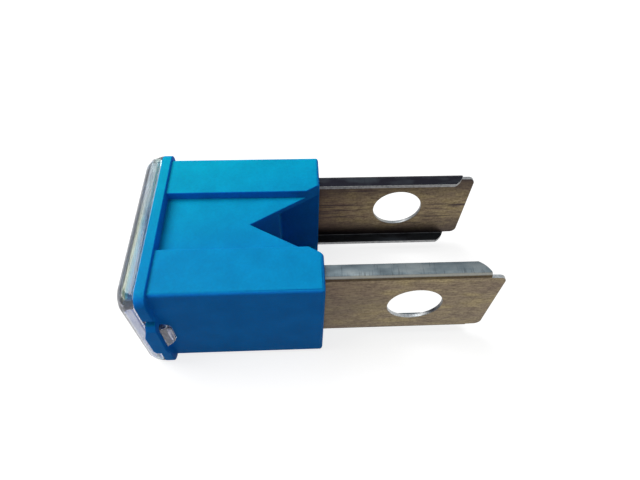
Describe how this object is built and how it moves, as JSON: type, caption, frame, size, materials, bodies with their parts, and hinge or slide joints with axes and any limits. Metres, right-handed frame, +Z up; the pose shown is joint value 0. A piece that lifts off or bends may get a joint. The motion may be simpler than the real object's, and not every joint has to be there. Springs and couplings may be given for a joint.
{
  "type": "bolt-in cartridge fuse",
  "caption": "Bolt-in cartridge fuse: moulded housing with raised pads and a V notch, clear clip-on lid, and a folded metal element whose channel terminals are drilled for bolts.",
  "frame": {"origin": "under the middle of the part, in the plane of the rim's and the lid's lower faces, on which it lies", "axes": "+X from the lid towards the terminal ends, +Y across the two terminals, +Z up through the thickness between the two wide faces"},
  "size_m": [0.0352, 0.019, 0.013],
  "materials": {
    "blue_plastic": "moulded, satin",
    "clear_plastic": "clear, moulded",
    "copper_alloy": "rolled sheet, dulled",
    "tin": "cast, dull"
  },
  "bodies": {
    "root": {"housing": "blue_plastic", "lid": "clear_plastic", "fuse_element": "copper_alloy", "tin_slug": "tin"}
  },
  "joints": []
}
